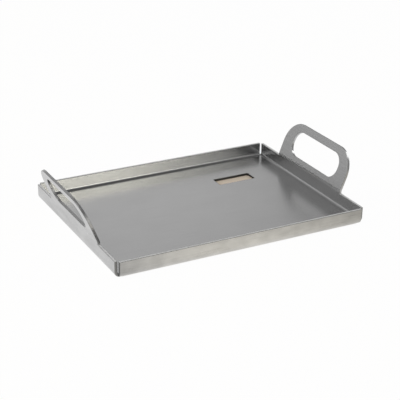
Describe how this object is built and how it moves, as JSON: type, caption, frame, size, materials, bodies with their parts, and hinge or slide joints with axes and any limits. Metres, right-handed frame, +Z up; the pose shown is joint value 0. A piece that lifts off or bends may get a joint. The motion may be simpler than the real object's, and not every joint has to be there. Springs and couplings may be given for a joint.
{
  "type": "camp griddle plate",
  "caption": "Shallow griddle tray folded from sheet steel, with open corner notches, a drain slot near one corner and leaning end handles with oblong hand holes, for camp cooking",
  "frame": {"origin": "on the underside of the tray, under the centre of its floor", "axes": "+X along the tray towards the right handle, +Y across it to the back, the drain slot's side, +Z up"},
  "size_m": [0.4444, 0.3, 0.0848],
  "materials": {
    "sheet_steel": "satin mill finish with a fine grain"
  },
  "bodies": {
    "root": {"griddle_pan": "sheet_steel", "left_handle": "sheet_steel", "right_handle": "sheet_steel"}
  },
  "joints": []
}
